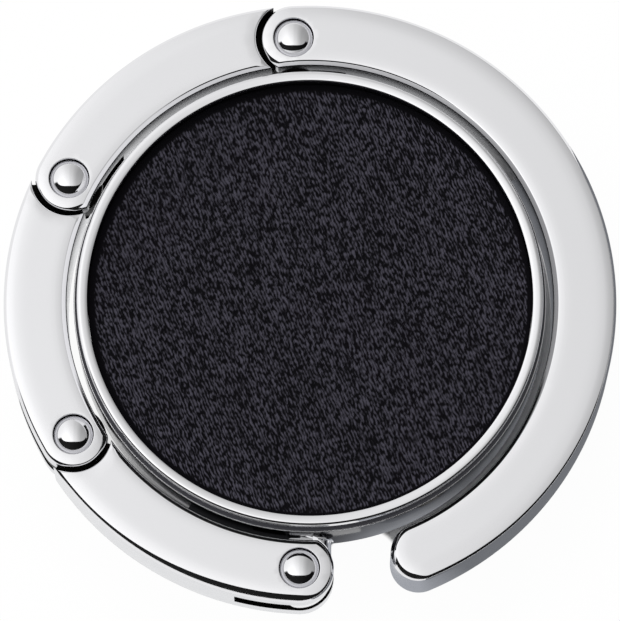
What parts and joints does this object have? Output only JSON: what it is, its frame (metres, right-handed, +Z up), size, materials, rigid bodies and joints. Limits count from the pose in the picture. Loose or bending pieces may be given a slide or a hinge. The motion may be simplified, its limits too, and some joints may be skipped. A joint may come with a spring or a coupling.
{
  "type": "folding table hook",
  "caption": "Folding table hook: a leather-faced metal disc on a rubber pad, ringed by riveted links that swivel and open into a bag hook.",
  "frame": {"origin": "centre of the rubber pad's underside, on the table", "axes": "+Z up out of the leather face, -Y towards the swivel stem, +X towards the plain hook arm"},
  "size_m": [0.045, 0.045, 0.0075],
  "materials": {
    "chrome": "polished chrome plate on cast zinc",
    "black_nickel": "polished black nickel plate on cast zinc",
    "steel": "plain zinc-plated steel",
    "nickel": "nickel-plated magnet",
    "leather": "dark navy-black grained leather",
    "rubber": "matt black rubber",
    "film": "double-sided adhesive sheet"
  },
  "bodies": {
    "disc": {"disc_body": "black_nickel", "bezel_tray": "chrome", "inlay_adhesive": "film", "leather_inlay": "leather", "pad_adhesive": "film", "rubber_pad": "rubber", "rim_magnet": "nickel"},
    "knuckle": {"swivel_knuckle": "chrome", "spring_washer": "steel", "flat_washer": "steel"},
    "first_link_body": {"first_link": "chrome", "base_rivet": "chrome"},
    "second_link_body": {"second_link": "chrome", "lower_rivet": "chrome"},
    "third_link_body": {"third_link": "chrome", "upper_rivet": "chrome"},
    "hook_body": {"hook_arm": "chrome", "hook_rivet": "chrome", "tip_magnet": "nickel"}
  },
  "joints": [
    {"name": "disc_swivel", "type": "hinge", "parent": "disc", "child": "knuckle", "pos_m": [0, -0.01745, 0.0037], "axis": [0, 1, 0], "range_deg": [-90, 90]},
    {"name": "base_hinge", "type": "hinge", "parent": "knuckle", "child": "first_link_body", "pos_m": [-0.00077, -0.01999, 0.0037], "axis": [0, 0, 1], "range_deg": [0, 90]},
    {"name": "lower_hinge", "type": "hinge", "parent": "first_link_body", "child": "second_link_body", "pos_m": [-0.01729, -0.01006, 0.0037], "axis": [0, 0, 1], "range_deg": [0, 50]},
    {"name": "upper_hinge", "type": "hinge", "parent": "second_link_body", "child": "third_link_body", "pos_m": [-0.01776, 0.0092, 0.0037], "axis": [0, 0, 1], "range_deg": [0, 50]},
    {"name": "hook_hinge", "type": "hinge", "parent": "third_link_body", "child": "hook_body", "pos_m": [-0.00122, 0.01996, 0.0037], "axis": [0, 0, 1], "range_deg": [0, 50]}
  ],
  "couplings": [
    {"joint": "upper_hinge", "follows": "hook_hinge", "ratio": 1},
    {"joint": "lower_hinge", "follows": "hook_hinge", "ratio": 0.2},
    {"joint": "base_hinge", "follows": "hook_hinge", "ratio": 0.2}
  ]
}
